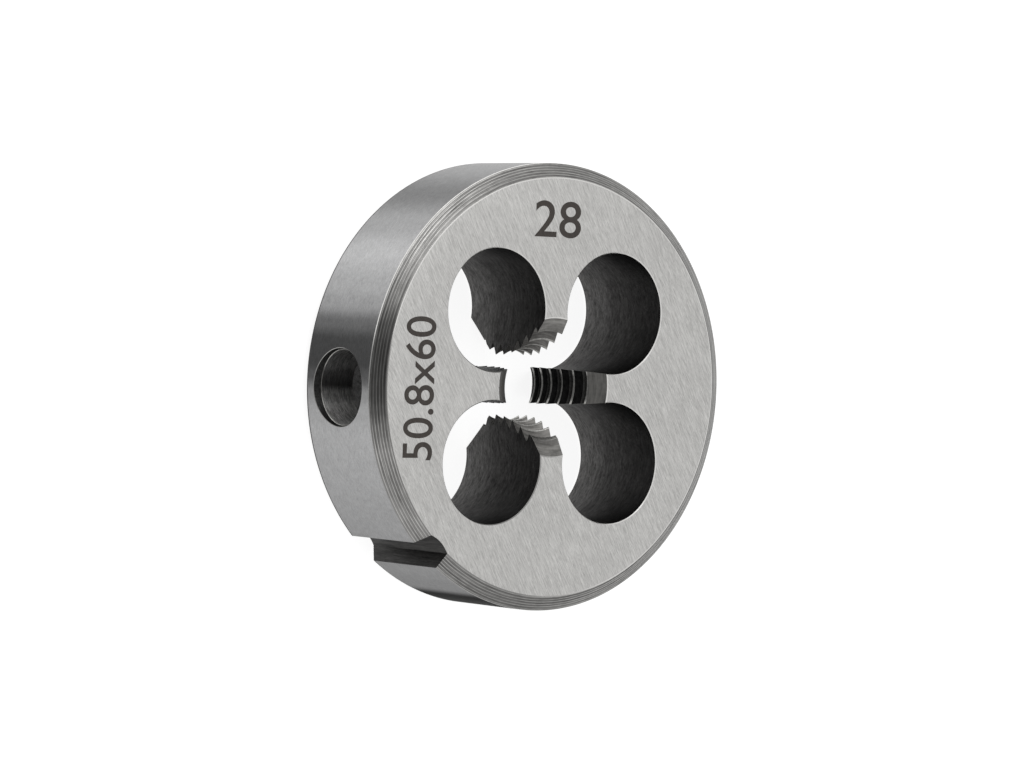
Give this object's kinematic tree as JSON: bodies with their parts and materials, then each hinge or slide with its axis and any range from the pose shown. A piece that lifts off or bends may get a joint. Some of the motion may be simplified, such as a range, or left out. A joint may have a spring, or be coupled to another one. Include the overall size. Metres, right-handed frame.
{
  "type": "threading die",
  "caption": "Round closed threading die: a chamfered steel disc with threaded cutting lands round its bore, open chip holes between them, a rim notch and conical screw seats.",
  "frame": {"origin": "on the thread axis, in the plane of the back face that the die lies on", "axes": "+Z along the thread axis, from the back face to the marked front face; the cutting lands stand on the X and Y axes; the rim notch is in the -X -Y quarter"},
  "size_m": [0.0508, 0.0508, 0.0137],
  "materials": {
    "steel": "ground faces, fine-turned rim, darker turned chamfers, dark chip holes"
  },
  "bodies": {
    "root": {"threading_die": "steel"}
  },
  "joints": []
}
